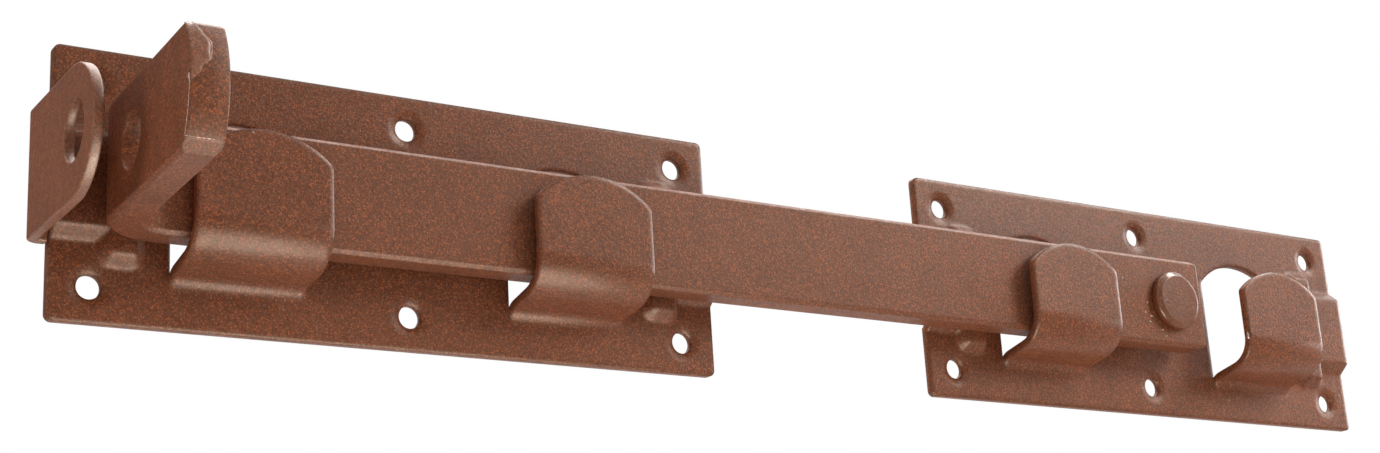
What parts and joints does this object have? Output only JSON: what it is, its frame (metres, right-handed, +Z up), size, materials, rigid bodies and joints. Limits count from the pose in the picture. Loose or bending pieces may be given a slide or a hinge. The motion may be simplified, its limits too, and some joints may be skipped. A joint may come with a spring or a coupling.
{
  "type": "double gate hasp",
  "caption": "Swing-bar gate hasp: a flat bar riveted to one hooked plate drops into the hooks of the other, where its bent lug meets a fixed padlock lug.",
  "frame": {"origin": "on the pivot axis, in the plane of the plates' backs, at the centre of the pivot plate", "axes": "+X along the bar from its lug to its pivot end, +Y from the viewer into the gate, +Z up"},
  "size_m": [0.3921, 0.0675, 0.059],
  "materials": {
    "plate_coat": "satin speckled brown powder coat on steel sheet",
    "bar_coat": "satin speckled brown powder coat on flat steel bar",
    "lug_coat": "satin speckled brown powder coat on steel sheet",
    "rivet_coat": "glossier brown coat over a steel rivet"
  },
  "bodies": {
    "plates": {"latch_plate": "plate_coat", "pivot_plate": "plate_coat", "padlock_lug": "lug_coat", "pivot_rivet": "rivet_coat", "pivot_spacer": "rivet_coat"},
    "bar": {"hasp_bar": "bar_coat"}
  },
  "joints": [
    {"name": "bar_swing", "type": "hinge", "parent": "plates", "child": "bar", "pos_m": [0, -0.0093, 0], "axis": [0, 1, 0], "range_deg": [0, 180]}
  ]
}
